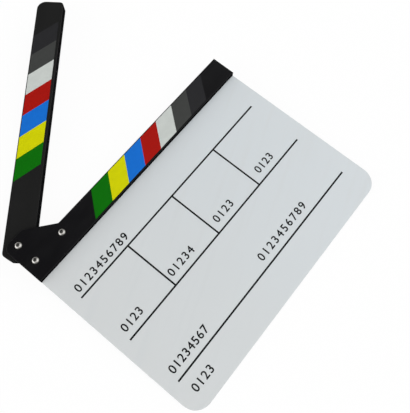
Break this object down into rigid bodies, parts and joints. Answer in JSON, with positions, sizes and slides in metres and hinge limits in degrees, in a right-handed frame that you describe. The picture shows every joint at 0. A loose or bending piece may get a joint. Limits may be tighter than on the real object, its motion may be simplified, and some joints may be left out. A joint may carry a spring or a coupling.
{
  "type": "clapperboard",
  "caption": "Film clapperboard: white slate board clamped in a layered black stick, with a striped clap stick that turns on a sleeve screw.",
  "frame": {"origin": "middle of the fixed stick's back face, which the slate lies on", "axes": "+X along the fixed stick away from the hinge end, +Y up the board towards the sticks, +Z out of the written face"},
  "size_m": [0.305, 0.4222, 0.02],
  "materials": {
    "white_acrylic": "satin white acrylic sheet",
    "black_acrylic": "satin black acrylic sheet",
    "nylon": "natural nylon",
    "bright_steel": "bright plated steel",
    "vinyl_green": "satin green vinyl",
    "vinyl_yellow": "satin yellow vinyl",
    "vinyl_blue": "satin blue vinyl",
    "vinyl_red": "satin red vinyl",
    "vinyl_white": "satin white vinyl",
    "vinyl_grey": "satin grey vinyl",
    "vinyl_dark_grey": "satin dark grey vinyl"
  },
  "bodies": {
    "slate": {"slate_board": "white_acrylic", "front_packer": "black_acrylic", "rear_packer": "black_acrylic", "front_cheek": "black_acrylic", "rear_cheek": "black_acrylic", "front_washer": "nylon", "rear_washer": "nylon", "pivot_screw": "bright_steel", "pivot_barrel": "bright_steel", "fixing_screws": "bright_steel", "fixing_barrels": "bright_steel", "fixed_stripe_green": "vinyl_green", "fixed_stripe_yellow": "vinyl_yellow", "fixed_stripe_blue": "vinyl_blue", "fixed_stripe_red": "vinyl_red", "fixed_stripe_white": "vinyl_white", "fixed_stripe_grey": "vinyl_grey", "fixed_stripe_dark_grey": "vinyl_dark_grey"},
    "clapper": {"clap_stick": "black_acrylic", "clap_stripe_green": "vinyl_green", "clap_stripe_yellow": "vinyl_yellow", "clap_stripe_blue": "vinyl_blue", "clap_stripe_red": "vinyl_red", "clap_stripe_white": "vinyl_white", "clap_stripe_grey": "vinyl_grey", "clap_stripe_dark_grey": "vinyl_dark_grey"}
  },
  "joints": [
    {"name": "clap_hinge", "type": "hinge", "parent": "slate", "child": "clapper", "pos_m": [-0.138, 0.02735, 0.009], "axis": [0, 0, 1], "range_deg": [-37.9, 52.1]}
  ]
}
